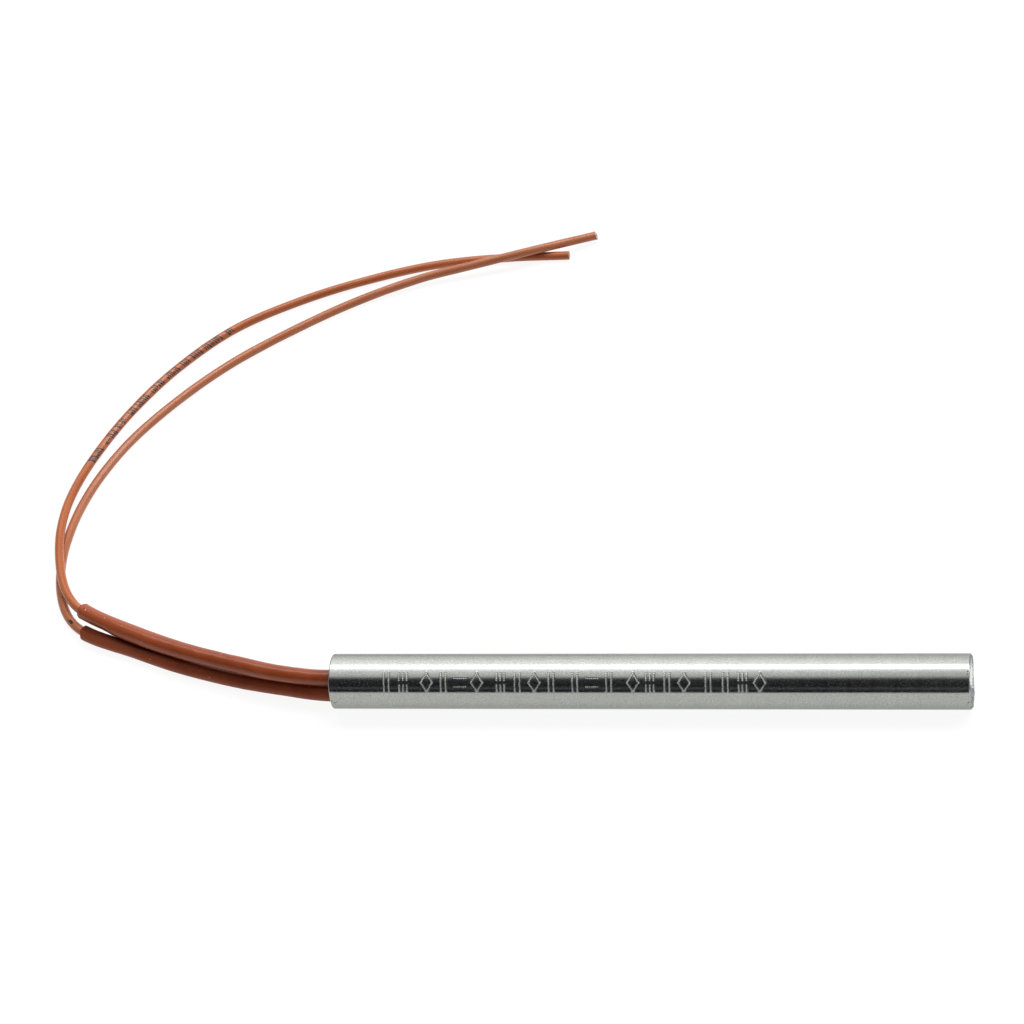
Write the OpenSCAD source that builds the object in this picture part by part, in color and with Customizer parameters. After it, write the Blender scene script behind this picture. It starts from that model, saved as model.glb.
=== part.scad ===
// Cartridge heater: a ground stainless tube with a welded end disc, a wound
// magnesia core inside, and two sleeved lead wires out of the open end.
// The tube lies along X on the surface z = 0, lead end at -X, disc end at +X.

/* [Sheath] */
// Outer diameter of the sheath
sheath_d = 10; // [9.6:0.1:10.4]
// Overall length over the sheath and the weld
sheath_len = 115.5; // [113:0.5:117]
// Wall thickness of the sheath
sheath_wall = 0.6; // [0.5:0.05:0.7]
// Radius of the broken edge at the lead end
lead_edge_r = 0.35; // [0.2:0.05:0.45]

/* [End disc] */
// Thickness of the disc set in the tube
disc_t = 1.9; // [1.5:0.1:2.2]
// Height of the edge weld over the end of the tube
weld_h = 0.4; // [0.3:0.05:0.6]

/* [Core and winding] */
// Diameter of the core segments
core_d = 5.2; // [4.8:0.1:5.2]
// Number of turns of the heating wire
winding_turns = 34; // [20:1:36]
// Diameter of the heating wire
winding_wire_d = 0.3; // [0.2:0.02:0.32]
// Bore of the compacted magnesia round the winding
fill_bore_d = 6.4; // [6.4:0.1:7.2]

/* [Terminals] */
// Diameter of the terminal pins
pin_d = 1; // [0.8:0.05:1.05]
// Outer diameter of the crimp ferrules
ferrule_d = 2; // [1.8:0.05:2]
// Length of the crimp ferrules
ferrule_len = 7.6; // [7:0.1:7.8]
// Depth of the seal below the rim of the lead end
seal_depth = 5.5; // [5:0.1:5.6]

/* [Leads] */
// Outer diameter of the insulated lead wires
lead_d = 1.75; // [1.6:0.01:1.78]
// Diameter of the stranded conductor
strand_d = 1; // [0.8:0.05:1]
// Outer diameter of the protective sleeves
sleeve_d = 2.9; // [2.7:0.05:2.9]
// Inner diameter of the protective sleeves
sleeve_bore = 1.95; // [1.95:0.01:2.1]

/* [Hidden] */

$fn = 96;

ro = sheath_d / 2;              // outside of the sheath
ri = ro - sheath_wall;          // inside of the sheath
axis_z = ro;                    // it lies on z = 0
x0 = -sheath_len / 2;           // rim of the lead end
x1 = sheath_len / 2;            // top of the weld
tube_end = x1 - weld_h;         // cut end of the tube under the weld

disc_in = tube_end - disc_t;    // inner face of the disc
base_t = 1.6;                   // base insulator
base_in = disc_in - base_t;     // inner face of the base insulator
tail_gap = 0.6;                 // room at each end of the core for the winding's tails
core_n = 5;
core_x1 = base_in - tail_gap;   // far end of the core stack
core_x0 = x0 + 20.5;            // near end of the core stack
core_l = (core_x1 - core_x0) / core_n;
term_x1 = core_x0 - tail_gap;   // terminal insulator, core side
seal_x0 = x0 + seal_depth;      // outer face of the seal
seal_x1 = seal_x0 + 4;          // inner face of the seal
term_x0 = seal_x1 + 0.2;        // terminal insulator, lead side

// The two leads, pins and bores lie across the axis, one above the other
pair = [[0.75, 1.5], [-0.75, -1.5]];
pair_r = norm(pair[0]);
pair_a = atan2(pair[0][1], pair[0][0]);

strip_x = x0 + 10.5;            // where the lead insulation is stripped
strand_x = x0 + 14.3;           // tip of the stripped strands in the ferrule
pin_x0 = strand_x + 0.4;        // end of the terminal pins in the ferrules
ferrule_x0 = strip_x + 0.4;
sleeve_x0 = seal_x1 - 0.5;      // inner end of the sleeves, in the seal

// Routes of the leads outside the tube: out of the open end, down to the
// surface, round to the left and back. Lead 1 passes over lead 2 at the left
// turn, and lead 2 over lead 1 near the free ends. The sixth point of each is
// where its sleeve ends.
sleeve_pts = 6;
lead_1_route = [[-58.5, 0.05, 5.92], [-67.9, 1.6, 5.4], [-77.7, 4.6, 4.95], [-87.5, 8.05, 4.55], [-97.5, 12.6, 4.1],
    [-109.6, 19.3, 3.3], [-114, 24.6, 2.95], [-117, 32.5, 2.85], [-118.8, 42, 2.7], [-119, 53, 1.4],
    [-116.5, 64.5, 0.9], [-111.5, 77, 0.9], [-104.5, 89, 0.9], [-95, 100, 0.9], [-83, 108, 0.9],
    [-70, 114, 0.9], [-56, 118.4, 0.9], [-42, 120.1, 0.9], [-29, 120.5, 0.9]];
lead_2_route = [[-58.5, -1.12, 2.96], [-68, 1, 2.15], [-78, 3.7, 1.52], [-88, 6.85, 1.45], [-98, 10.9, 1.45],
    [-109, 15.65, 1.46], [-113.8, 21.2, 1], [-116.8, 30, 0.9], [-117.6, 41, 0.9], [-115.8, 53.5, 0.9],
    [-111, 66.5, 0.9], [-103.5, 78.5, 0.9], [-94, 89.7, 0.9], [-83, 99.2, 0.9], [-71, 107.5, 1.1],
    [-59, 113.4, 1.55], [-48, 116.6, 2.25], [-36, 120.1, 2.85], [-24, 125.9, 1.4]];
routes = [lead_1_route, lead_2_route];

// ---- Curves and swept tubes ----

// Point i of a lead's route from the seal outward
function out_pts(k) = concat([[seal_x0, pair[k][0], axis_z + pair[k][1]]], routes[k]);
function chord(p, i) = norm(p[i + 1] - p[i]);
// Tangent at point i, even for unequal spans; the first leaves the seal along -X
function tan_at(p, i) = i == 0 ? [-1, 0, 0]
    : i == len(p) - 1 ? (p[i] - p[i - 1]) / chord(p, i - 1)
    : (p[i + 1] - p[i - 1]) / (chord(p, i - 1) + chord(p, i));
// Smooth curve through the points, at the fraction u of span i
function on_span(p, i, u) = let (h = chord(p, i))
    (2 * u^3 - 3 * u^2 + 1) * p[i] + (u^3 - 2 * u^2 + u) * h * tan_at(p, i)
    + (3 * u^2 - 2 * u^3) * p[i + 1] + (u^3 - u^2) * h * tan_at(p, i + 1);
function curve(p, n) = concat([for (i = [0:len(p) - 2]) for (k = [0:n - 1]) on_span(p, i, k / n)], [p[len(p) - 1]]);

function unit(v) = v / norm(v);
function dir_at(q, k) = unit(q[min(k + 1, len(q) - 1)] - q[max(k - 1, 0)]);
// Ring of s points round centre k of the path q, of equal area to a circle of radius r
function ring(q, k, r, s, ref) = let (t = dir_at(q, k), a = unit(cross(t, ref)), b = cross(a, t),
        rr = r * sqrt(PI / (s / 2 * sin(360 / s))))
    [for (j = [0:s - 1]) let (w = (j + 0.5) * 360 / s) q[k] + rr * (cos(w) * a + sin(w) * b)];
function side_faces(n, s, base, flip) = [for (k = [0:n - 2]) for (j = [0:s - 1])
    let (a = base + k * s + j, b = base + k * s + (j + 1) % s, c = b + s, d = a + s)
    each flip ? [[a, c, b], [a, d, c]] : [[a, b, c], [a, c, d]]];

// Solid tube along the path q with radius r[k] at each ring
module swept(q, r, s, ref) {
    n = len(q);
    polyhedron(points = [for (k = [0:n - 1]) each ring(q, k, r[k], s, ref)],
        faces = concat([[for (j = [s - 1:-1:0]) j]], side_faces(n, s, 0, false), [[for (j = [0:s - 1]) (n - 1) * s + j]]));
}

// Hollow tube along the path q
module swept_hollow(q, r_out, r_in, s, ref) {
    n = len(q);
    polyhedron(points = concat([for (k = [0:n - 1]) each ring(q, k, r_out, s, ref)], [for (k = [0:n - 1]) each ring(q, k, r_in, s, ref)]),
        faces = concat(side_faces(n, s, 0, false), side_faces(n, s, n * s, true),
            [for (j = [0:s - 1]) let (a = j, b = (j + 1) % s, c = n * s + (j + 1) % s, d = n * s + j) each [[a, d, c], [a, c, b]]],
            [for (j = [0:s - 1]) let (e = (n - 1) * s, a = e + j, b = e + (j + 1) % s, c = n * s + b, d = n * s + a) each [[a, b, c], [a, c, d]]]));
}

up = [0, 0, 1];
rings_per_span = 2;
// Whole path of lead k: strands, strip, sleeve end, then the route
function lead_path(k) = let (y = pair[k][0], z = axis_z + pair[k][1])
    concat([[strand_x, y, z], [strip_x, y, z], [strip_x, y, z], [sleeve_x0, y, z]], curve(out_pts(k), rings_per_span));
function lead_radii(k) = let (n = len(lead_path(k))) [for (i = [0:n - 1]) i < 2 ? strand_d / 2 : lead_d / 2];
function sleeve_path(k) = let (q = lead_path(k)) [for (i = [3:4 + sleeve_pts * rings_per_span]) q[i]];

// ---- Helpers ----

// Revolve a profile of [x along the axis, radius] points about the tube's axis
module turned(profile) {
    translate([0, 0, axis_z]) rotate([0, 90, 0])
        rotate_extrude() polygon([for (p = profile) [p[1], p[0]]]);
}

// Round bar along X from xa to xb, at the place [y, z] from the tube's axis
module bar(xa, xb, r, at = [0, 0]) {
    translate([xa, at[0], axis_z + at[1]]) rotate([0, 90, 0]) cylinder(h = xb - xa, r = r);
}

// ---- Pieces ----

module sheath() {
    steps = 6;
    color([0.78, 0.79, 0.78]) turned(concat(
        [[x0 + 0.1, ri], [x0, ri + 0.1]],
        [for (i = [steps:-1:0]) let (a = i * 90 / steps) [x0 + lead_edge_r * (1 - sin(a)), ro - lead_edge_r * (1 - cos(a))]],
        [[tube_end, ro], [tube_end, ri]]));
}

// Disc pressed into the tube, with the weld bead that runs over the cut end
module end_disc() {
    steps = 8;
    bead_r = ri;          // middle of the bead
    bead_w = ro - 0.06 - ri;
    color([0.7, 0.7, 0.69]) turned(concat(
        [[disc_in, 0], [disc_in, ri - 0.3], [disc_in + 0.3, ri], [tube_end, ri]],
        [for (i = [0:steps]) let (a = i * 180 / steps) [tube_end + weld_h * sin(a) + (a > 90 ? 0.12 * (a - 90) / 90 : 0), bead_r + bead_w * cos(a)]],
        [[tube_end + 0.12, 0]]));
}

module base_insulator() {
    color([0.9, 0.88, 0.82]) bar(base_in, disc_in, ri - 0.02);
}

module core_segment(i) {
    a = core_x0 + i * core_l;
    color([0.93, 0.92, 0.88]) difference() {
        bar(a, a + core_l, core_d / 2);
        for (p = pair) bar(a - 1, a + core_l + 1, pin_d / 2 + 0.05, p);
    }
}
module core_segment_1() { core_segment(0); }
module core_segment_2() { core_segment(1); }
module core_segment_3() { core_segment(2); }
module core_segment_4() { core_segment(3); }
module core_segment_5() { core_segment(4); }

// Heating wire: a tail from the short pin, the coil along the core, and a tail
// to the long pin at the far end
module resistance_winding() {
    wr = winding_wire_d / 2;
    coil_r = (core_d + fill_bore_d) / 4 + 0.05;
    tail_r = pair_r + pin_d / 2 + wr + 0.02;
    xa = core_x0 - tail_gap / 2;
    xb = core_x1 + tail_gap / 2;
    turn = 120;                         // each tail runs a third of a turn
    a0 = pair_a + 180;                  // by the short pin
    sweep = 360 * winding_turns + 180 - 2 * turn;
    n = 10 * winding_turns;
    tail = 4;
    path = concat(
        [for (i = [0:tail - 1]) let (u = i / tail) [xa, tail_r + (coil_r - tail_r) * u, a0 + turn * u]],
        [for (i = [0:n]) let (u = i / n) [xa + (xb - xa) * u, coil_r, a0 + turn + sweep * u]],
        [for (i = [tail - 1:-1:0]) let (u = i / tail) [xb, tail_r + (coil_r - tail_r) * u, a0 + turn + sweep + turn * (1 - u)]]);
    q = [for (p = path) [p[0], p[1] * cos(p[2]), axis_z + p[1] * sin(p[2])]];
    color([0.45, 0.43, 0.4]) swept(q, [for (p = q) wr], 6, [1, 0, 0]);
}

module magnesia_fill() {
    color([0.95, 0.94, 0.9]) difference() {
        bar(term_x1, base_in, ri);
        bar(term_x1 - 1, base_in + 1, fill_bore_d / 2);
    }
}

module terminal_insulator() {
    color([0.92, 0.9, 0.84]) difference() {
        bar(term_x0, term_x1, ri - 0.02);
        for (p = pair) bar(term_x0 - 1, term_x1 + 1, ferrule_d / 2 + 0.05, p);
    }
}

module terminal_pin_long() {
    color([0.72, 0.7, 0.64]) bar(pin_x0, core_x1 + 0.45, pin_d / 2, pair[0]);
}
module terminal_pin_short() {
    color([0.72, 0.7, 0.64]) bar(pin_x0, core_x0 + core_l - 1, pin_d / 2, pair[1]);
}

// Crimp tube with two pairs of pressed flats
module crimp_ferrule(k) {
    color([0.75, 0.74, 0.7]) difference() {
        bar(ferrule_x0, ferrule_x0 + ferrule_len, ferrule_d / 2, pair[k]);
        bar(ferrule_x0 - 1, ferrule_x0 + ferrule_len + 1, 0.56, pair[k]);
        for (x = [0.2, 0.62], s = [-1, 1])
            translate([ferrule_x0 + x * ferrule_len, pair[k][0] + s * (ferrule_d / 2 - 0.15), axis_z + pair[k][1]])
                translate([0, s > 0 ? 0 : -1, -1]) cube([1.4, 1, 2]);
    }
}
module crimp_ferrule_1() { crimp_ferrule(0); }
module crimp_ferrule_2() { crimp_ferrule(1); }

module lead_end_seal() {
    color([0.82, 0.78, 0.7]) difference() {
        bar(seal_x0, seal_x1, ri);
        for (p = pair) bar(seal_x0 - 1, seal_x1 + 1, sleeve_d / 2 + 0.11, p);
    }
}

module lead_wire(k) {
    color([0.75, 0.43, 0.29]) swept(lead_path(k), lead_radii(k), 8, up);
}
module lead_wire_1() { lead_wire(0); }
module lead_wire_2() { lead_wire(1); }

module lead_sleeve(k) {
    color([0.55, 0.24, 0.14]) swept_hollow(sleeve_path(k), sleeve_d / 2, sleeve_bore / 2, 8, up);
}
module lead_sleeve_1() { lead_sleeve(0); }
module lead_sleeve_2() { lead_sleeve(1); }

sheath();
end_disc();
base_insulator();
core_segment_1();
core_segment_2();
core_segment_3();
core_segment_4();
core_segment_5();
resistance_winding();
magnesia_fill();
terminal_insulator();
terminal_pin_long();
terminal_pin_short();
crimp_ferrule_1();
crimp_ferrule_2();
lead_end_seal();
lead_wire_1();
lead_wire_2();
lead_sleeve_1();
lead_sleeve_2();
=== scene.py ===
import math

import bmesh
import bpy
import numpy as np
from mathutils import Matrix, Vector


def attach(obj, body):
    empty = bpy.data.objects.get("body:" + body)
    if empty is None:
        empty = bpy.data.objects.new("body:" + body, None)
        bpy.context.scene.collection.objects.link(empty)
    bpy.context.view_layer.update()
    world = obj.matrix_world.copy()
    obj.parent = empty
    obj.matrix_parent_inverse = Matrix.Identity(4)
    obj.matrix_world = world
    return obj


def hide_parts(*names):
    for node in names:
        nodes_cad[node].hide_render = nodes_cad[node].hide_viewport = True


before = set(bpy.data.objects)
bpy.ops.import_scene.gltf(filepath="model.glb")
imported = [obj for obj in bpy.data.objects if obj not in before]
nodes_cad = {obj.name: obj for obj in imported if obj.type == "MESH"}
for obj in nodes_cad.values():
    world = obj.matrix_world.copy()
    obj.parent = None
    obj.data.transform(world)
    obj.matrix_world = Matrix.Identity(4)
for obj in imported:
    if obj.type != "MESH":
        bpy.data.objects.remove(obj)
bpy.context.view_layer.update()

scene = bpy.context.scene
MM = 0.001


# ---------------------------------------------------------------- camera
F_PX = 4000.0
YAW, TILT, ROLL = math.radians(10.661), math.radians(45.0), math.radians(-0.435)
DEPTH, TX, TY = 716.55, 648.0, 680.89
c_back = np.array(
    [math.sin(YAW), -math.cos(YAW) * math.cos(TILT), math.cos(YAW) * math.sin(TILT)]
)
c_right = np.array([1.0, 0, 0]) - c_back[0] * c_back
c_right /= np.linalg.norm(c_right)
c_up = np.cross(c_back, c_right)
c_right, c_up = (
    math.cos(ROLL) * c_right + math.sin(ROLL) * c_up,
    -math.sin(ROLL) * c_right + math.cos(ROLL) * c_up,
)
c_pos = (
    np.array([0, 0, 5.0])
    + DEPTH * c_back
    - c_right * (TX - 511.5) / F_PX * DEPTH
    + c_up * (TY - 511.5) / F_PX * DEPTH
)
cam_data = bpy.data.cameras.new("camera")
cam_data.sensor_width = 36.0
cam_data.sensor_fit = "HORIZONTAL"
cam_data.lens = 36.0 * F_PX / 1024.0
cam_data.clip_start = 0.01
cam_data.clip_end = 50.0
cam = bpy.data.objects.new("camera", cam_data)
scene.collection.objects.link(cam)
m = Matrix.Identity(4)
for i in range(3):
    m[i][0], m[i][1], m[i][2] = c_right[i], c_up[i], c_back[i]
    m[i][3] = c_pos[i] * MM
cam.matrix_world = m
scene.camera = cam


# ---------------------------------------------------------------- mesh helpers
def noise1(x, seed, n=5):
    """Smooth repeatable noise of one number, about -1 to 1."""
    rng = np.random.default_rng(seed)
    out = np.zeros_like(np.asarray(x, float))
    for k in range(n):
        f, p, a = rng.uniform(0.6, 1.6) * (k + 1), rng.uniform(0, 6.283), 1.0 / (k + 1)
        out = out + a * np.sin(f * np.asarray(x, float) + p)
    return out / 1.6


def noise2(x, y, seed, n=10):
    """Smooth repeatable noise of two numbers, about -1 to 1."""
    rng = np.random.default_rng(seed)
    out = 0.0
    for k in range(n):
        a, q = rng.uniform(0, 6.283), rng.uniform(0.6, 2.4)
        out = out + np.sin(
            q * (math.cos(a) * x + math.sin(a) * y) + rng.uniform(0, 6.283)
        )
    return out / math.sqrt(n)


class Shell:
    """Collects grids of points, in mm, into one mesh."""

    def __init__(self):
        self.v, self.f, self.uv, self.mat, self.n = [], [], [], [], 0

    def grid(self, P, U, V, wrap_j=True, wrap_i=False, mat=0, v_period=None):
        """P is rows x columns x 3; mat is a number or a rows x columns array, one per face."""
        ni, nj = P.shape[:2]
        base = self.n
        self.v.append(P.reshape(-1, 3))
        self.n += ni * nj
        ii = np.arange(ni if wrap_i else ni - 1)
        jj = np.arange(nj if wrap_j else nj - 1)
        I, J = np.meshgrid(ii, jj, indexing="ij")
        I2, J2 = (I + 1) % ni, (J + 1) % nj
        f = np.stack(
            [
                base + I * nj + J,
                base + I2 * nj + J,
                base + I2 * nj + J2,
                base + I * nj + J2,
            ],
            -1,
        ).reshape(-1, 4)
        self.f.append(f)
        V2 = V[I, J2] if v_period is None else np.where(J2 < J, V[I, J2] + v_period, V[I, J2])
        V3 = V[I2, J2] if v_period is None else np.where(J2 < J, V[I2, J2] + v_period, V[I2, J2])
        uv = np.stack(
            [
                np.stack([U[I, J], V[I, J]], -1),
                np.stack([U[I2, J], V[I2, J]], -1),
                np.stack([U[I2, J2], V3], -1),
                np.stack([U[I, J2], V2], -1),
            ],
            -2,
        ).reshape(-1, 4, 2)
        self.uv.append(uv)
        k = np.asarray(mat)
        self.mat.append(
            np.full(len(f), int(k)) if k.ndim == 0 else k[I, J].reshape(-1).astype(int)
        )
        return base

    def build(self, name, materials, normals=None, flip=False, weld=True):
        v = np.concatenate(self.v) * MM
        f = np.concatenate(self.f)
        uv = np.concatenate(self.uv)
        if flip:
            f = f[:, ::-1]
            uv = uv[:, ::-1]
        me = bpy.data.meshes.new(name)
        me.from_pydata(v.tolist(), [], f.tolist())
        layer = me.uv_layers.new(name="UVMap")
        layer.data.foreach_set("uv", uv.reshape(-1).astype(np.float32))
        me.polygons.foreach_set(
            "material_index", np.concatenate(self.mat).astype(np.int32)
        )
        me.polygons.foreach_set("use_smooth", np.ones(len(f), bool))
        for mt in materials:
            me.materials.append(mt)
        if weld:
            bm = bmesh.new()
            bm.from_mesh(me)
            bmesh.ops.remove_doubles(bm, verts=bm.verts, dist=2e-7)
            bmesh.ops.dissolve_degenerate(bm, edges=bm.edges, dist=1e-8)
            bmesh.ops.recalc_face_normals(bm, faces=bm.faces)
            bm.to_mesh(me)
            bm.free()
        me.update()
        if normals is not None:
            me.normals_split_custom_set_from_vertices(normals.tolist())
        ob = bpy.data.objects.new(name, me)
        scene.collection.objects.link(ob)
        return ob


def sharp(ob, degrees):
    """Marks edges sharper than this, so that cut ends keep crisp rims."""
    bm = bmesh.new()
    bm.from_mesh(ob.data)
    lim = math.radians(degrees)
    for e in bm.edges:
        e.smooth = not (len(e.link_faces) == 2 and e.calc_face_angle(0) > lim)
    bm.to_mesh(ob.data)
    bm.free()


# ---------------------------------------------------------------- lead routes, repeated from part.scad
SEAL_X0, STRIP_X, STRAND_X, SLEEVE_X0 = -52.25, -47.25, -43.45, -48.75
ROUTE = {
    1: [
        [-58.5, 0.05, 5.92], [-67.9, 1.6, 5.4], [-77.7, 4.6, 4.95], [-87.5, 8.05, 4.55],
        [-97.5, 12.6, 4.1], [-109.6, 19.3, 3.3], [-114, 24.6, 2.95], [-117, 32.5, 2.85],
        [-118.8, 42, 2.7], [-119, 53, 1.4], [-116.5, 64.5, 0.9], [-111.5, 77, 0.9],
        [-104.5, 89, 0.9], [-95, 100, 0.9], [-83, 108, 0.9], [-70, 114, 0.9],
        [-56, 118.4, 0.9], [-42, 120.1, 0.9], [-29, 120.5, 0.9],
    ],
    2: [
        [-58.5, -1.12, 2.96], [-68, 1, 2.15], [-78, 3.7, 1.52], [-88, 6.85, 1.45],
        [-98, 10.9, 1.45], [-109, 15.65, 1.46], [-113.8, 21.2, 1], [-116.8, 30, 0.9],
        [-117.6, 41, 0.9], [-115.8, 53.5, 0.9], [-111, 66.5, 0.9], [-103.5, 78.5, 0.9],
        [-94, 89.7, 0.9], [-83, 99.2, 0.9], [-71, 107.5, 1.1], [-59, 113.4, 1.55],
        [-48, 116.6, 2.25], [-36, 120.1, 2.85], [-24, 125.9, 1.4],
    ],
}
EXIT = {1: (0.75, 6.5), 2: (-0.75, 3.5)}
SLEEVE_LAST = 6  # the route point, counted from the seal, where a sleeve ends


class Path:
    """A dense line through a lead's points, with a frame that doesn't twist."""

    def __init__(self, k):
        y, z = EXIT[k]
        p = [np.array([SEAL_X0, y, z])] + [np.array(q, float) for q in ROUTE[k]]
        chord = [np.linalg.norm(p[i + 1] - p[i]) for i in range(len(p) - 1)]
        tang = []
        for i in range(len(p)):
            if i == 0:
                tang.append(np.array([-1.0, 0, 0]))
            elif i == len(p) - 1:
                tang.append((p[i] - p[i - 1]) / chord[i - 1])
            else:
                tang.append((p[i + 1] - p[i - 1]) / (chord[i - 1] + chord[i]))
        pts = [np.array([x, y, z]) for x in np.arange(STRAND_X, SEAL_X0, -0.2)]
        marks = {}
        for i in range(len(p) - 1):
            h = chord[i]
            marks[i] = len(pts)
            for t in np.linspace(0, 1, int(math.ceil(h / 0.2)), endpoint=False):
                pts.append(
                    (2 * t**3 - 3 * t**2 + 1) * p[i]
                    + (t**3 - 2 * t**2 + t) * h * tang[i]
                    + (-2 * t**3 + 3 * t**2) * p[i + 1]
                    + (t**3 - t**2) * h * tang[i + 1]
                )
        marks[len(p) - 1] = len(pts)
        pts.append(p[-1])
        for d in (0.5, 1.0, 1.5, 2.0):
            pts.append(p[-1] + d * tang[-1])
        P = np.array(pts)
        d = np.linalg.norm(np.diff(P, axis=0), axis=1)
        self.s = np.concatenate([[0], np.cumsum(d)])
        self.P = P
        T = np.gradient(P, self.s, axis=0)
        T /= np.linalg.norm(T, axis=1)[:, None]
        N = np.zeros_like(P)
        n = np.array([0.0, 0, 1])
        for i in range(len(P)):
            n = n - n.dot(T[i]) * T[i]
            n /= np.linalg.norm(n)
            N[i] = n
        self.T, self.N, self.B = T, N, np.cross(T, N)
        self.s_strip = STRAND_X - STRIP_X
        self.s_sleeve0 = STRAND_X - SLEEVE_X0
        self.s_sleeve1 = self.s[marks[SLEEVE_LAST]]
        self.s_end = self.s[marks[len(p) - 1]]

    def at(self, s):
        f = lambda A: np.stack([np.interp(s, self.s, A[:, k]) for k in range(3)], -1)
        return f(self.P), f(self.N), f(self.B)

    def sweep(self, prof, nseg, radius=None, shift=None):
        """Points round the path for a list of (s, r): rows x nseg x 3, and uv in mm."""
        s = np.array([q[0] for q in prof], float)
        r = np.array([q[1] for q in prof], float)
        ang = np.arange(nseg) * 2 * math.pi / nseg
        S = np.repeat(s[:, None], nseg, 1)
        R = np.repeat(r[:, None], nseg, 1)
        A = np.repeat(ang[None, :], len(s), 0)
        if radius is not None:
            R = R + radius(S, A, R)
        if shift is not None:
            S = S + shift(S, A, R)
        C, N, B = self.at(S)
        P = C + R[..., None] * (np.cos(A)[..., None] * N + np.sin(A)[..., None] * B)
        P[..., 2] = np.maximum(P[..., 2], 0.0)  # it rests on the surface
        return P, S, A * r.max()


PATHS = {1: Path(1), 2: Path(2)}


# ---------------------------------------------------------------- materials
def material(name):
    mt = bpy.data.materials.new(name)
    mt.use_nodes = True
    nt = mt.node_tree
    bsdf = nt.nodes["Principled BSDF"]
    return mt, nt, bsdf


class Nodes:
    """Short calls for the nodes that the materials here use."""

    def __init__(self, nt):
        self.nt = nt

    def new(self, kind, **inputs):
        n = self.nt.nodes.new(kind)
        for k, v in inputs.items():
            n.inputs[k.replace("_", " ")].default_value = v
        return n

    def link(self, a, b):
        self.nt.links.new(a, b)

    def coords(self, which, scale):
        tc = self.nt.nodes.new("ShaderNodeTexCoord")
        mp = self.nt.nodes.new("ShaderNodeMapping")
        mp.inputs["Scale"].default_value = scale
        self.link(tc.outputs[which], mp.inputs["Vector"])
        return mp.outputs["Vector"]

    def noise(self, vec, scale, detail=4.0, rough=0.55, distortion=0.0):
        n = self.new("ShaderNodeTexNoise", Scale=scale, Detail=detail, Roughness=rough, Distortion=distortion)
        self.link(vec, n.inputs["Vector"])
        return n.outputs["Fac"]

    def voronoi(self, vec, scale, feature="F1", randomness=1.0):
        n = self.nt.nodes.new("ShaderNodeTexVoronoi")
        n.feature = feature
        n.inputs["Scale"].default_value = scale
        n.inputs["Randomness"].default_value = randomness
        self.link(vec, n.inputs["Vector"])
        return n.outputs["Distance"]

    def ramp(self, fac, stops, interpolation="LINEAR"):
        n = self.nt.nodes.new("ShaderNodeValToRGB")
        n.color_ramp.interpolation = interpolation
        el = n.color_ramp.elements
        while len(el) < len(stops):
            el.new(0.5)
        for e, (pos, col) in zip(el, stops):
            e.position = pos
            e.color = (*col, 1.0) if len(col) == 3 else col
        self.link(fac, n.inputs["Fac"])
        return n.outputs["Color"]

    def span(self, fac, lo, hi, a=0.0, b=1.0):
        n = self.nt.nodes.new("ShaderNodeMapRange")
        n.inputs["From Min"].default_value = a
        n.inputs["From Max"].default_value = b
        n.inputs["To Min"].default_value = lo
        n.inputs["To Max"].default_value = hi
        self.link(fac, n.inputs["Value"])
        return n.outputs["Result"]

    def math(self, op, a, b=None):
        n = self.nt.nodes.new("ShaderNodeMath")
        n.operation = op
        for i, x in enumerate((a, b)):
            if x is None:
                continue
            if isinstance(x, (int, float)):
                n.inputs[i].default_value = x
            else:
                self.link(x, n.inputs[i])
        return n.outputs["Value"]

    def mix(self, fac, a, b, blend="MIX"):
        n = self.nt.nodes.new("ShaderNodeMix")
        n.data_type = "RGBA"
        n.blend_type = blend
        for sock, x in ((n.inputs[0], fac), (n.inputs[6], a), (n.inputs[7], b)):
            if isinstance(x, (int, float)):
                sock.default_value = x
            elif isinstance(x, tuple):
                sock.default_value = (*x, 1.0)
            else:
                self.link(x, sock)
        return n.outputs[2]

    def bump(self, height, strength, distance, normal=None):
        n = self.nt.nodes.new("ShaderNodeBump")
        n.inputs["Strength"].default_value = strength
        n.inputs["Distance"].default_value = distance
        self.link(height, n.inputs["Height"])
        if normal is not None:
            self.link(normal, n.inputs["Normal"])
        return n.outputs["Normal"]


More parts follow.
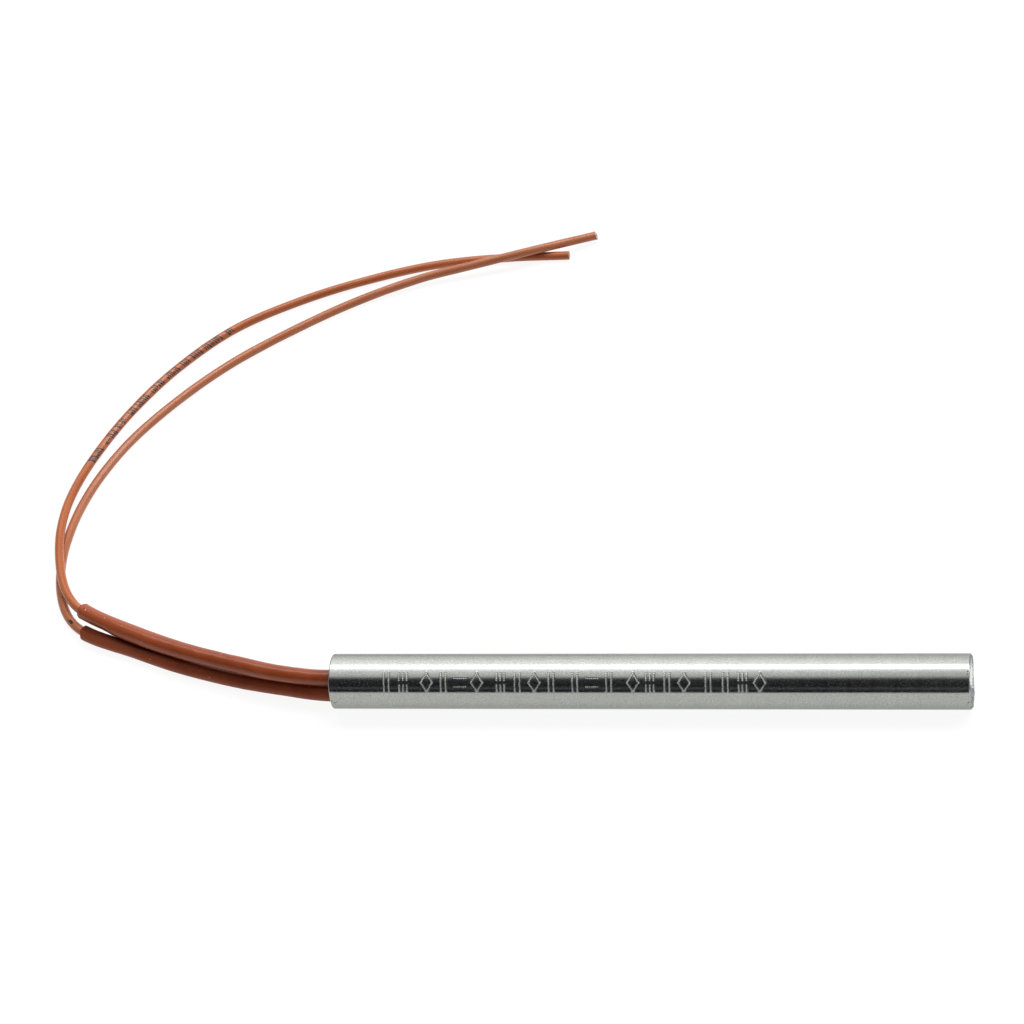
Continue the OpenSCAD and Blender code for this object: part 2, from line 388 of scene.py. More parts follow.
def mat_sheath():
    """Centreless-ground stainless: fine grain, feed rings towards the far end, stains, specks and pits."""
    mt, nt, b = material("sheath_steel")
    k = Nodes(nt)
    uv = k.coords("UV", (1, 1, 1))
    ring = k.coords("UV", (9.0, 0.5, 1))
    grain = k.noise(uv, 3.6, 3.0, 0.70)
    turned = k.noise(ring, 1.6, 4.0, 0.6)
    stain = k.noise(uv, 0.33, 5.0, 0.6)
    fine = k.noise(uv, 11.0, 2.0, 0.5)
    dots = k.noise(uv, 6.4, 0.0, 0.5)
    col = k.ramp(stain, [(0.30, (0.330, 0.339, 0.320)), (0.66, (0.360, 0.369, 0.349))])
    col = k.mix(
        0.55, col, k.ramp(grain, [(0.34, (0.66, 0.66, 0.66)), (0.66, (1.34, 1.34, 1.34))]), "MULTIPLY"
    )
    col = k.mix(0.38, col, k.ramp(dots, [(0.50, (1, 1, 1)), (0.72, (1.55, 1.55, 1.55))]), "MULTIPLY")
    specks = k.voronoi(uv, 1.1)
    speck = k.ramp(specks, [(0.045, (0.35, 0.35, 0.34)), (0.085, (1, 1, 1))])
    col = k.mix(0.6, col, speck, "MULTIPLY")
    # feed rings of the grinding wheel, faint and only on the far half
    sep = nt.nodes.new("ShaderNodeSeparateXYZ")
    k.link(uv, sep.inputs["Vector"])
    part = k.math("FRACT", k.math("ADD", k.math("DIVIDE", sep.outputs["X"], 4.12), 20.131))
    near = k.math("ABSOLUTE", k.math("SUBTRACT", part, 0.5))
    feed = k.math("MULTIPLY", k.span(near, 0.0, 1.0, 0.40, 0.50), k.span(sep.outputs["X"], 0.0, 1.0, 25.0, 29.0))
    feed = k.math("MULTIPLY", feed, k.span(sep.outputs["X"], 1.0, 0.0, 54.0, 55.5))
    feed = k.math("MULTIPLY", feed, k.span(stain, 0.5, 1.4, 0.3, 0.7))
    col = k.mix(k.math("MULTIPLY", feed, 0.10), col, (0.15, 0.15, 0.16))
    # a few handling pits by the lead end
    for px, pv, pr in PITS:
        d = nt.nodes.new("ShaderNodeVectorMath")
        d.operation = "DISTANCE"
        d.inputs[1].default_value = (px, pv, 0)
        k.link(uv, d.inputs[0])
        col = k.mix(k.span(d.outputs["Value"], 0.85, 0.0, pr * 0.6, pr), col, (0.05, 0.05, 0.05))
    k.link(col, b.inputs["Base Color"])
    # dull grains that catch light from all round, fewer along the feed rings
    dull = k.math("MULTIPLY", k.span(dots, 0.0, 0.27, 0.53, 0.76), k.span(feed, 1.0, 0.25, 0.0, 0.8))
    k.link(k.math("SUBTRACT", 1.0, dull), b.inputs["Metallic"])
    b.inputs["Specular Tint"].default_value = (0.62, 0.63, 0.62, 1)  # ground steel stays dull at a glancing angle
    rough = k.math("ADD", k.span(grain, 0.06, 0.10, 0.38, 0.72), k.span(stain, -0.01, 0.02))
    k.link(rough, b.inputs["Roughness"])
    n1 = k.bump(turned, 0.12, 0.00002)
    n2 = k.bump(fine, 0.30, 0.00002, n1)
    n3 = k.bump(grain, 0.12, 0.00004, n2)
    k.link(n3, b.inputs["Normal"])
    return mt


def mat_peened():
    """The struck faces of the dot marks: brighter and rougher than the ground surface."""
    mt, nt, b = material("peened_steel")
    k = Nodes(nt)
    uv = k.coords("UV", (1, 1, 1))
    fine = k.noise(uv, 7.0, 3.0, 0.6)
    k.link(k.ramp(fine, [(0.3, (0.36, 0.37, 0.36)), (0.7, (0.60, 0.61, 0.60))]), b.inputs["Base Color"])
    b.inputs["Metallic"].default_value = 1.0
    k.link(k.span(fine, 0.42, 0.60), b.inputs["Roughness"])
    k.link(k.bump(fine, 0.25, 0.00004), b.inputs["Normal"])
    return mt


def mat_weld():
    """Edge weld: matt, mottled, with burnt spots and pits."""
    mt, nt, b = material("weld_steel")
    k = Nodes(nt)
    ob = k.coords("Object", (1000, 1000, 1000))
    blot = k.noise(ob, 1.7, 6.0, 0.65)
    fine = k.noise(ob, 5.0, 4.0, 0.6)
    pits = k.voronoi(ob, 2.2)
    col = k.ramp(
        blot,
        [(0.32, (0.13, 0.13, 0.125)), (0.47, (0.36, 0.365, 0.36)), (0.64, (0.62, 0.63, 0.63))],
    )
    col = k.mix(0.75, col, k.ramp(pits, [(0.10, (0.16, 0.15, 0.14)), (0.24, (1, 1, 1))]), "MULTIPLY")
    k.link(col, b.inputs["Base Color"])
    b.inputs["Metallic"].default_value = 1.0
    b.inputs["Specular Tint"].default_value = (0.45, 0.45, 0.45, 1)
    k.link(k.span(fine, 0.26, 0.50), b.inputs["Roughness"])
    n1 = k.bump(fine, 0.35, 0.00006)
    k.link(k.bump(pits, 0.25, 0.0001, n1), b.inputs["Normal"])
    return mt


def mat_sleeve(name, dark, mid, light, lower_with_painted_shade=False):
    """Red-brown silicone-coated sleeving: faint braid under a soft gloss, a few dust specks."""
    mt, nt, b = material(name)
    k = Nodes(nt)
    uv = k.coords("UV", (1, 1, 1))
    ob = k.coords("Object", (1000, 1000, 1000))
    blot = k.noise(ob, 0.22, 5.0, 0.6)
    fine = k.noise(uv, 6.0, 4.0, 0.6)
    dust = k.voronoi(ob, 0.55)
    col = k.ramp(
        blot, [(0.28, dark), (0.5, mid), (0.72, light)]
    )
    col = k.mix(0.35, col, k.ramp(fine, [(0.3, (0.74, 0.72, 0.70)), (0.7, (1.12, 1.12, 1.12))]), "MULTIPLY")
    # a little paler towards its free end; on the lower sleeve this is painted light, standing in for the floor's glow
    # on its free end
    along = nt.nodes.new("ShaderNodeSeparateXYZ")
    k.link(uv, along.inputs["Vector"])
    pale = k.span(along.outputs["X"], 0.0, 0.95, 46.0, 60.0) if lower_with_painted_shade else k.span(along.outputs["X"], 0.0, 0.95, 40.0, 62.0)
    col = k.mix(pale, col, light)
    gloss = 0.42
    if lower_with_painted_shade:  # painted shadow of the upper sleeve: darker, with less gloss, along the line where it lies against the other sleeve
        line = k.span(along.outputs["X"], 1.05, 0.15, 42.0, 56.0)
        d = k.math("ABSOLUTE", k.math("SUBTRACT", k.math("DIVIDE", along.outputs["Y"], 1.45), line))
        d = k.math("MINIMUM", d, k.math("SUBTRACT", 6.2832, d))  # the short way round
        painted_shadow = k.math("MULTIPLY", k.span(d, 0.58, 0.0, 0.30, 1.08), k.span(along.outputs["X"], 1.0, 1.5, 46.0, 57.0))
        painted_shadow = k.math("MINIMUM", painted_shadow, 0.84)
        # painted shadow: the upper sleeve's shade, painted in near-black red-brown
        col = k.mix(painted_shadow, col, (0.050, 0.007, 0.003))
        gloss = k.span(painted_shadow, 0.22, 0.04, 0.50, 0.84)
    col = k.mix(k.ramp(dust, [(0.035, (1, 1, 1)), (0.055, (0, 0, 0))]), col, (0.74, 0.66, 0.60))
    k.link(col, b.inputs["Base Color"])
    k.link(k.span(fine, 0.34, 0.50) if lower_with_painted_shade else k.span(fine, 0.20, 0.33), b.inputs["Roughness"])
    b.inputs["IOR"].default_value = 1.43
    if lower_with_painted_shade:
        k.link(gloss, b.inputs["Specular IOR Level"])
    else:
        b.inputs["Specular IOR Level"].default_value = gloss
    n1 = k.bump(fine, 0.22, 0.00004)
    w = k.new("ShaderNodeTexWave", Scale=1.5, Distortion=1.5, Detail=2.0)
    w.bands_direction = "DIAGONAL"
    k.link(uv, w.inputs["Vector"])
    k.link(k.bump(w.outputs["Fac"], 0.05, 0.00003, n1), b.inputs["Normal"])
    return mt


def mat_wire(name, dark, mid, light):
    """Smooth extruded insulation, orange-brown, with slow drifts of shade along it."""
    mt, nt, b = material(name)
    k = Nodes(nt)
    uv = k.coords("UV", (0.12, 1.0, 1))
    drift = k.noise(uv, 1.0, 5.0, 0.6)
    uv2 = k.coords("UV", (1, 1, 1))
    fine = k.noise(uv2, 7.0, 3.0, 0.55)
    col = k.ramp(drift, [(0.28, dark), (0.5, mid), (0.74, light)])
    col = k.mix(0.3, col, k.ramp(fine, [(0.3, (0.82, 0.80, 0.78)), (0.7, (1.08, 1.08, 1.08))]), "MULTIPLY")
    k.link(col, b.inputs["Base Color"])
    k.link(k.span(fine, 0.20, 0.34), b.inputs["Roughness"])
    b.inputs["IOR"].default_value = 1.42
    k.link(k.bump(fine, 0.10, 0.00003), b.inputs["Normal"])
    return mt


def mat_print():
    """Faded black marking ink on the insulation."""
    mt, nt, b = material("marking_ink")
    k = Nodes(nt)
    ob = k.coords("Object", (1000, 1000, 1000))
    wear = k.noise(ob, 3.0, 4.0, 0.6)
    k.link(
        k.ramp(wear, [(0.30, (0.012, 0.010, 0.014)), (0.62, (0.03, 0.022, 0.024)), (0.80, (0.16, 0.065, 0.035))]),
        b.inputs["Base Color"],
    )
    k.link(k.span(wear, 0.35, 0.55), b.inputs["Roughness"])
    return mt


def mat_grain(name, dark, light, scale, rough, metallic=0.0, bump=0.3, depth=0.00005, stretch=(1, 1, 1)):
    """A plain grained surface: mottle, roughness and bump from one pair of noises."""
    mt, nt, b = material(name)
    k = Nodes(nt)
    ob = k.coords("Object", tuple(1000 * s for s in stretch))
    blot = k.noise(ob, scale, 6.0, 0.62)
    fine = k.noise(ob, scale * 5, 3.0, 0.55)
    col = k.ramp(blot, [(0.30, dark), (0.70, light)])
    col = k.mix(0.35, col, k.ramp(fine, [(0.3, (0.78, 0.78, 0.78)), (0.7, (1.08, 1.08, 1.08))]), "MULTIPLY")
    k.link(col, b.inputs["Base Color"])
    b.inputs["Metallic"].default_value = metallic
    k.link(k.span(fine, rough[0], rough[1]), b.inputs["Roughness"])
    n1 = k.bump(fine, bump, depth)
    k.link(k.bump(blot, bump * 0.6, depth * 2, n1), b.inputs["Normal"])
    return mt


PITS = [  # along the tube and round it, in mm, and the size of each
    (-57.35, 15.55, 0.18), (-56.95, 16.0, 0.20), (-56.55, 15.8, 0.15), (-55.7, 14.9, 0.12), (-53.2, 14.8, 0.12),
    (57.2, 12.1, 0.14), (57.3, 15.75, 0.21), (57.15, 16.4, 0.14), (57.3, 9.75, 0.17), (57.25, 10.35, 0.13),
]
M_SHEATH = mat_sheath()
M_PEENED = mat_peened()
M_WELD = mat_weld()
M_FACE = mat_grain(
    "disc_steel", (0.60, 0.61, 0.60), (0.74, 0.75, 0.74), 1.2, (0.14, 0.26), metallic=1.0, bump=0.06, depth=0.00002
)
M_SLEEVE_1 = mat_sleeve("lead_sleeving_1", (0.235, 0.042, 0.0100), (0.28, 0.052, 0.0130), (0.325, 0.067, 0.019))
# the lower sleeve: a painted shadow from the upper sleeve along its top, and a paler free end that is painted light
M_SLEEVE_2 = mat_sleeve("lead_sleeving_2", (0.210, 0.040, 0.0120), (0.255, 0.051, 0.0160), (0.300, 0.066, 0.022), True)
M_WIRE_1 = mat_wire(
    "lead_insulation_1", (0.375, 0.100, 0.031), (0.425, 0.119, 0.039), (0.47, 0.140, 0.051)
)
M_WIRE_2 = mat_wire(
    "lead_insulation_2", (0.37, 0.112, 0.046), (0.42, 0.134, 0.058), (0.465, 0.158, 0.074)
)
M_PRINT = mat_print()
M_CORE = mat_grain("insulation_cut", (0.52, 0.47, 0.40), (0.76, 0.73, 0.68), 2.0, (0.55, 0.75))
M_STRAND = mat_grain(
    "nickel_strand", (0.16, 0.20, 0.19), (0.46, 0.50, 0.48), 2.6, (0.25, 0.45), metallic=1.0, stretch=(0.4, 1, 1)
)
M_CEMENT = mat_grain("cement", (0.42, 0.385, 0.33), (0.66, 0.63, 0.57), 1.4, (0.75, 0.95), bump=0.5, depth=0.00012)
M_CERAMIC = mat_grain("ceramic", (0.70, 0.67, 0.61), (0.83, 0.81, 0.76), 0.8, (0.45, 0.65), bump=0.2)
M_MAGNESIA = mat_grain("magnesia", (0.66, 0.65, 0.62), (0.82, 0.81, 0.79), 2.2, (0.85, 0.98), bump=0.5, depth=0.0001)
M_ALLOY = mat_grain(
    "heating_alloy", (0.20, 0.19, 0.185), (0.38, 0.37, 0.36), 1.8, (0.28, 0.46), metallic=1.0, bump=0.15
)
M_NICKEL = mat_grain(
    "nickel", (0.42, 0.40, 0.36), (0.60, 0.58, 0.54), 1.3, (0.20, 0.36), metallic=1.0, bump=0.12, stretch=(0.25, 1, 1)
)


# ---------------------------------------------------------------- leads
WIRE_R, STRAND_R, SLEEVE_R, SLEEVE_BORE = 0.875, 0.5, 1.45, 0.975
PRINT = (113.75, 159.35)  # where along lead 1 the ink marks run, in mm of path
wires, sleeves = {}, {}


def ink(S, A, k):
    """Plain slanted bars and blocks, in uneven runs: True where a face is inked."""
    if k == 2:
        side = ((A + 0.35 + math.pi) % (2 * math.pi)) - math.pi
        u = S + 0.5 * side * WIRE_R
        return (u > 71.35) & (u < 72.65) & (side > -0.35) & (side < 0.25)
    side = ((A - 0.73 + math.pi) % (2 * math.pi)) - math.pi
    u = S - 0.42 * side * WIRE_R
    rng = np.random.default_rng(41)
    out = np.zeros(S.shape, bool)
    x, left = PRINT[0], 0
    while x < PRINT[1]:
        if left <= 0:
            left = int(rng.integers(4, 10))
            x += rng.choice([0.7, 1.0, 1.4])
        w = rng.choice([0.24, 0.28, 0.34, 0.42])
        lo, hi = rng.choice([-0.95, -0.85, -0.2], p=[0.45, 0.4, 0.15]), rng.choice([0.15, 0.75, 0.9], p=[0.15, 0.4, 0.45])
        out |= (u >= x) & (u < x + w) & (side > lo) & (side < hi)
        x += w + rng.choice([0.14, 0.18, 0.26])
        left -= 1
    return out & (S < PRINT[1])


def make_wire(k):
    p = PATHS[k]
    end = p.s_end
    cut = 0.0 if k == 1 else 0.5

    def wobble(S, A, R):
        return np.where(
            R > 0.8, 0.010 * noise2(S * 0.35, 2.0 * np.cos(A) + 3.0 * np.sin(A), 7 + k) - 0.006, 0.0
        )

    def slant(S, A, R):
        w = np.clip((S - (end - 1.2)) / 1.2, 0, 1)
        return -w * cut * R * np.cos(A - 0.6)

    s = [p.s_strip]
    while s[-1] < end - 1.5:
        x = s[-1]
        fine = k == 1 and PRINT[0] - 1 < x < PRINT[1] + 1
        fine = fine or (k == 2 and 70.5 < x < 73.5)
        s.append(x + (0.12 if fine else 0.6))
    s = s[:-1] + list(np.linspace(end - 1.5, end - 0.03, 8))
    prof = [(p.s_strip, 0.0), (p.s_strip, 0.5), (p.s_strip, 0.84)]
    prof += [(x, WIRE_R) for x in s[1:]]
    prof += [(end, 0.845), (end + 0.005, 0.80), (end, 0.66), (end - 0.01, 0.53), (end - 0.12, STRAND_R), (end - 0.16, 0.3), (end - 0.16, 0.0)]
    nseg = 36
    P, U, V = p.sweep(prof, nseg, wobble, slant)
    A = np.repeat(np.arange(nseg)[None, :] * 2 * math.pi / nseg, len(prof), 0)
    S = np.repeat(np.array([q[0] for q in prof])[:, None], nseg, 1)
    R = np.repeat(np.array([q[1] for q in prof])[:, None], nseg, 1)
    mat = np.zeros(P.shape[:2], int)
    last = len(prof) - 7
    mat[ink(S, A, k) & (R > 0.8) & (np.arange(len(prof))[:, None] < last)] = 1
    mat[last:, :] = 2
    mat[-3:, :] = 3
    sh = Shell()
    sh.grid(P, U, V, mat=mat, v_period=2 * math.pi * WIRE_R)
    # the bunched conductor: nineteen strands that show at the cut, and a plain stripped run inside
    spots = [(0.0, 0.0)]
    spots += [(0.19, a * math.pi / 3) for a in range(6)]
    spots += [(0.375, (a + 0.5) * math.pi / 6) for a in range(12)]
    rng = np.random.default_rng(11 + k)
    for rr, aa in spots:
        top = end - 0.02 + rng.uniform(-0.06, 0.07)
        C, N, B = p.at(np.array([end - 0.6, top - 0.03, top]))
        o = C + rr * (math.cos(aa) * N + math.sin(aa) * B)
        ring = np.arange(9) * 2 * math.pi / 9
        rows = []
        for i, q in ((0, 0.088), (1, 0.088), (2, 0.055), (2, 0.0)):
            off = -cut * rr * math.cos(aa - 0.6) * p.T[-1] if cut else 0.0
            rows.append(
                o[i] + off + q * (np.cos(ring)[:, None] * N[i] + np.sin(ring)[:, None] * B[i])
            )
        G = np.array(rows)
        sh.grid(G, G[..., 0] * 0, G[..., 0] * 0, mat=3)
    G, U, V = p.sweep(
        [(0.0, 0.0), (0.0, 0.42), (0.12, STRAND_R), (2.0, STRAND_R), (p.s_strip + 0.4, STRAND_R), (p.s_strip + 0.4, 0.0)],
        24,
        lambda S, A, R: np.where(R > 0.45, -0.03 * (1 + np.cos(9 * A + 2.2 * S)) / 2, 0.0),
    )
    sh.grid(G, U, V, mat=3)
    ob = sh.build(f"lead_wire_{k}_insulated", [M_WIRE_1 if k == 1 else M_WIRE_2, M_PRINT, M_CORE, M_STRAND])
    sharp(ob, 50)
    return ob


def make_sleeve(k):
    p = PATHS[k]
    s0, s1 = p.s_sleeve0, p.s_sleeve1

    def wobble(S, A, R):
        outer = R > 1.3
        big = 0.016 * noise2(S * 0.30, 1.4 * np.cos(A) + 1.9 * np.sin(A), 21 + k) + 0.012
        small = 0.006 * noise2(S * 1.6, 4.0 * np.cos(A) + 3.0 * np.sin(A + 0.4), 33 + k)
        pinch = -0.05 * np.exp(-(((S - (s1 - 34.0)) / 1.6) ** 2)) * (1 + np.cos(A - 0.4)) / 2
        w = np.clip((S - s0 - 8.0) / 8.0, 0, 1)
        d = s1 - S
        if k == 1:
            oval = np.interp(
                d,
                (3, 4.5, 5.8, 7, 8.5, 10, 13, 17, 22, 30, 40, 46),
                (0, 0.005, 0.02, 0.055, 0.165, 0.205, 0.20, 0.19, 0.14, 0.095, 0.085, 0.04),
            )
            oval = oval * (1 + np.cos(A - math.radians(225)))
            oval = oval + 0.10 * np.exp(-np.maximum(d, 0) / 5.0) * (1 + np.cos(A - math.radians(45)))
        else:
            oval = np.interp(d, (0, 5, 6.6, 8.2, 11, 15, 20, 24), (-0.05, -0.04, -0.04, -0.055, -0.07, -0.06, -0.04, -0.03))
            oval = oval * (1 + np.cos(A - math.radians(45)))
        return np.where(outer, np.minimum(big + small + pinch, 0.04) + w * oval, 0.3 * small)

    def ragged(S, A, R):
        w = np.clip((S - (s1 - 1.0)) / 1.0, 0, 1)
        return w * (0.09 * np.sin(A * 2 + 0.7 + k) + 0.05 * np.sin(A * 5 + 1.9 * k)) + w * (0.02, 0.22)[k - 1] * R * np.cos(A + 2.4 * k)

    along = list(np.arange(s0 + 0.1, s1 - 1.2, 0.45)) + list(np.linspace(s1 - 1.2, s1 - 0.09, 6))
    prof = [(s0, 1.36)] + [(x, SLEEVE_R) for x in along]
    prof += [(s1 - 0.02, 1.42), (s1, 1.36), (s1 + 0.01, 1.22), (s1, 1.06), (s1 - 0.06, SLEEVE_BORE)]
    prof += [(x, SLEEVE_BORE) for x in np.linspace(s1 - 1.2, s0 + 0.1, 60)]
    prof += [(s0, 1.05)]
    P, U, V = p.sweep(prof, 48, wobble, ragged)
    sh = Shell()
    sh.grid(P, U, V, wrap_i=True, v_period=2 * math.pi * SLEEVE_R)
    ob = sh.build(f"lead_sleeve_{k}_tube", [M_SLEEVE_1 if k == 1 else M_SLEEVE_2])
    return ob


for k in (1, 2):
    wires[k] = make_wire(k)
    sleeves[k] = make_sleeve(k)
    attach(wires[k], "root")
    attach(sleeves[k], "root")
    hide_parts(f"lead_wire_{k}")
    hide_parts(f"lead_sleeve_{k}")
    pth = PATHS[k]
    s = np.linspace(0.0, pth.s_end, 340)
    mouth = next(q for q in pth.at(s)[0] if q[0] < -57.75)  # where the lead leaves the tube
    (pth.at(s)[0] * MM).tolist()
    print("lead", k, "path mm", round(pth.s_end, 2), "sleeve", round(pth.s_sleeve1 - pth.s_sleeve0, 2))


# ---------------------------------------------------------------- sheath
R_OUT, R_IN, AXIS_Z = 5.0, 4.4, 5.0
X_LEAD, X_RIM = -57.75, 57.6
MARK_X = (-48.6, 24.6)
MARK_MID, MARK_HALF = math.radians(135.0), math.radians(25.5)


def mark_dots():
    """A dot-peened row of plain bars, split bars, dashes and rhombi: (x, height above the middle line) in mm."""
    dots = []
    step, h, w = 0.35, 1.72, 1.05

    def stroke(a, b):
        n = max(1, int(round(math.hypot(b[0] - a[0], b[1] - a[1]) / step)))
        for i in range(n + 1):
            t = i / n
            dots.append((a[0] + t * (b[0] - a[0]), a[1] + t * (b[1] - a[1])))

    groups = [2, 4, 4, 3, 4, 4]
    kinds = "bs" "rbdr" "sbrb" "bdb" "rsbr" "bbsr"
    x, g, i = -47.0, 0, 0
    for g in groups:
        for _ in range(g):
            kind = kinds[i % len(kinds)]
            i += 1
            if kind == "b":
                stroke((x - 0.45, -h), (x - 0.45, h))
                stroke((x + 0.45, -h), (x + 0.45, h))
            elif kind == "s":
                for q in (-0.7, 0.0, 0.7):
                    stroke((x + q, -h), (x + q, -0.45))
                    stroke((x + q, 0.45), (x + q, h))
            elif kind == "d":
                for q in (-0.8, 0.8):
                    stroke((x - w, q), (x + w, q))
            else:
                stroke((x, -h), (x + w, 0))
                stroke((x + w, 0), (x, h))
                stroke((x, h), (x - w, 0))
                stroke((x - w, 0), (x, -h))
            x += 3.07
        x += 1.25
    rng = np.random.default_rng(5)
    out = []
    for q in dots:
        out.append((q[0] + rng.normal(0, 0.018), q[1] + rng.normal(0, 0.018), rng.uniform(0.7, 1.15)))
    return out


def make_sheath():
    # profile: (x, r, normal x, normal r)
    prof = [(X_RIM, 4.42, 1, 0), (X_RIM, 4.7, 1, 0)]
    for t in np.radians([8, 26, 45, 64, 82]):
        prof.append((X_RIM - 0.1 + 0.1 * math.cos(t), 4.9 + 0.1 * math.sin(t), math.cos(t), math.sin(t)))
    xs = list(np.arange(X_RIM - 0.1, MARK_X[1] + 0.4, -1.0))
    xs += list(np.arange(MARK_X[1], MARK_X[0] - 1e-6, -0.078))
    xs += list(np.arange(MARK_X[0] - 0.6, X_LEAD + 0.9, -0.8)) + [X_LEAD + 0.21]
    first = len(prof)
    prof += [(x, R_OUT, 0, 1) for x in xs]
    for t in np.radians([100, 112, 124, 136, 148, 160, 172, 180]):
        prof.append((X_LEAD + 0.2 + 0.2 * math.cos(t), 4.8 + 0.2 * math.sin(t), math.cos(t), math.sin(t)))
    prof += [(X_LEAD, 4.52, -1, 0), (X_LEAD + 0.03, 4.45, -0.7, -0.7), (X_LEAD + 0.10, R_IN, 0, -1)]
    prof += [(x, R_IN, 0, -1) for x in (-57, -56, -54.5, -53, -51, -45, -20, 10, 40, 54, X_RIM - 0.02)]
    ang = np.concatenate(
        [
            np.arange(MARK_MID - MARK_HALF, MARK_MID + MARK_HALF, math.radians(0.86)),
            np.linspace(MARK_MID + MARK_HALF, MARK_MID - MARK_HALF + 2 * math.pi, 52)[:-1],
        ]
    )
    ang = np.sort(ang)
    pr = np.array(prof, float)
    X = np.repeat(pr[:, 0][:, None], len(ang), 1)
    R = np.repeat(pr[:, 1][:, None], len(ang), 1)
    NX = np.repeat(pr[:, 2][:, None], len(ang), 1)
    NR = np.repeat(pr[:, 3][:, None], len(ang), 1)
    A = np.repeat(ang[None, :], len(prof), 0)
    # dot-peened marks
    H = np.zeros_like(X)
    HX = np.zeros_like(X)
    HA = np.zeros_like(X)
    struck = np.zeros(X.shape, bool)
    T = (A - MARK_MID) * R_OUT  # height round the tube; plus is down and towards the floor side
    outer = np.zeros(X.shape, bool)
    outer[first : first + len(xs)] = True
    for dx, dt, k in mark_dots():
        ii = np.where(np.abs(pr[first : first + len(xs), 0] - dx) < 0.5)[0] + first
        jj = np.where(np.abs((ang - MARK_MID) * R_OUT + dt) < 0.5)[0]
        if not len(ii) or not len(jj):
            continue
        sl = np.ix_(ii, jj)
        ux, ut = X[sl] - dx, T[sl] + dt
        q2 = ux**2 + ut**2
        q = np.sqrt(q2) + 1e-9
        w1, w2, rim = 0.11, 0.06, 0.19
        a1, a2 = -0.045 * k, 0.014 * k
        g1 = a1 * np.exp(-q2 / w1**2)
        g2 = a2 * np.exp(-(((q - rim) / w2) ** 2))
        H[sl] += g1 + g2
        struck[sl] |= q < 0.10 + 0.035 * k
        d = g1 * (-2 / w1**2) + g2 * (-2 * (q - rim) / w2**2) / q
        HX[sl] += d * ux
        HA[sl] += d * ut
    H, HX, HA = np.where(outer, H, 0), np.where(outer, HX, 0), np.where(outer, HA, 0)
    R = R + H
    cy, cz = np.cos(A), np.sin(A)
    P = np.stack([X, R * cy, AXIS_Z + R * cz], -1)
    N = np.stack([NX - HX, NR * cy + HA * cz, NR * cz - HA * cy], -1)
    N /= np.linalg.norm(N, axis=-1)[..., None]
    sh = Shell()
    sh.grid(P, X, A * R_OUT, wrap_i=True, v_period=2 * math.pi * R_OUT, mat=(struck & outer).astype(int))
    return sh.build("sheath_tube", [M_SHEATH, M_PEENED], normals=N.reshape(-1, 3), weld=False)


sheath = make_sheath()
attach(sheath, "root")
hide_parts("sheath")


# ---------------------------------------------------------------- welded end disc
def make_end():
    na = 220
    ang = np.arange(na) * 2 * math.pi / na
    rad = np.concatenate([[0.0], np.linspace(0.25, 3.6, 20), np.linspace(3.7, 4.95, 28)])
    Rg, A = np.meshgrid(rad, ang, indexing="ij")
    ys, zs = Rg * np.cos(A), Rg * np.sin(A)
    below = Rg * np.cos(A - math.radians(222))  # mm from the middle towards the side where the weld was closed
    low = np.clip((below - 0.40 + 0.50 * noise2(ys * 0.9, zs * 0.9, 12)) / 1.8, 0, 1)
    low = low * low * (3 - 2 * low)
    centre = 4.64 + 0.04 * np.sin(3 * A + 0.4) + 0.03 * np.sin(7 * A)
    puddle = np.abs(np.sin(A * 13 + 0.9 * np.sin(2 * A)))
    tall = 0.16 + 0.03 * puddle + 0.02 * np.sin(5 * A + 1.0)
    bead = tall * np.exp(-np.abs((Rg - centre) / 0.30) ** 2.6)
    pool = low * (0.19 + 0.05 * noise2(ys * 1.2, zs * 1.2, 8) - 0.13 * np.clip((Rg - 4.1) / 0.6, 0, 1) ** 2)
    face = 57.56 + 0.006 * noise2(ys * 1.7, zs * 1.7, 3)
    drop = -0.20 * np.clip((Rg - 4.72) / 0.23, 0, 1) ** 2
    X = face + bead + pool + drop + 0.022 * noise2(ys * 5, zs * 5, 4) * np.maximum(low, Rg > 4.3)
    rng = np.random.default_rng(17)
    for _ in range(34):
        a, r0, w = rng.uniform(0, 6.283), rng.uniform(4.1, 4.85), rng.uniform(0.07, 0.17)
        d2 = (ys - r0 * math.cos(a)) ** 2 + (zs - r0 * math.sin(a)) ** 2
        X = X - rng.uniform(0.05, 0.14) * np.exp(-d2 / w**2)
    rows = [np.stack([X, ys, AXIS_Z + zs], -1)]
    mats = [np.where((low > 0.35) | (Rg > 4.3 + 0.05 * np.sin(9 * A)), 0, 1)]
    for x, r in ((57.25, 4.93), (57.2, 4.41), (56.85, 4.385), (55.55, 4.385), (55.45, 4.30), (55.45, 0.0)):
        rows.append(
            np.stack([np.full(na, x), r * np.cos(ang), AXIS_Z + r * np.sin(ang)], -1)[None]
        )
        mats.append(np.zeros((1, na), int))
    P = np.concatenate(rows)
    sh = Shell()
    sh.grid(P, P[..., 1], P[..., 2], mat=np.concatenate(mats))
    return sh.build("end_disc_welded", [M_WELD, M_FACE])


end = make_end()
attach(end, "root")
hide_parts("end_disc")


